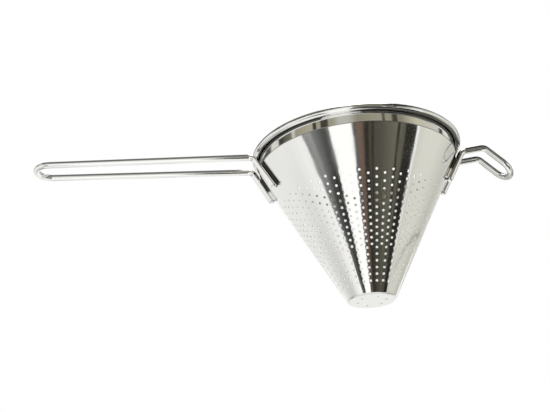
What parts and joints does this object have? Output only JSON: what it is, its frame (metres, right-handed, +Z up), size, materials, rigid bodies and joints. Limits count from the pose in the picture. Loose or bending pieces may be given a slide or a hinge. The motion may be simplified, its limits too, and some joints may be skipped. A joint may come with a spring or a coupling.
{
  "type": "chinois strainer",
  "caption": "Conical perforated steel chinois strainer with a flat pierced base, rolled rim, long bent-wire handle and a wire pot hook opposite.",
  "frame": {"origin": "middle of the flat base's underside", "axes": "+Z up the cone's axis towards the rim, -X along the long handle, +X towards the pot hook"},
  "size_m": [0.4104, 0.18, 0.1354],
  "materials": {
    "body_steel": "mirror polished stainless sheet",
    "base_steel": "polished stainless sheet",
    "collar_steel": "mirror polished stainless sheet",
    "core_steel": "dull drawn steel wire, seen from below in the rim's open curl",
    "handle_steel": "polished stainless wire",
    "hook_steel": "polished stainless wire",
    "weld_steel": "dull dark weld metal"
  },
  "bodies": {
    "root": {"perforated_cone": "body_steel", "base_cap": "base_steel", "collar_band": "collar_steel", "rim_wire": "core_steel", "handle_loop": "handle_steel", "handle_welds": "weld_steel", "hook_loop": "hook_steel", "hook_welds": "weld_steel"}
  },
  "joints": []
}
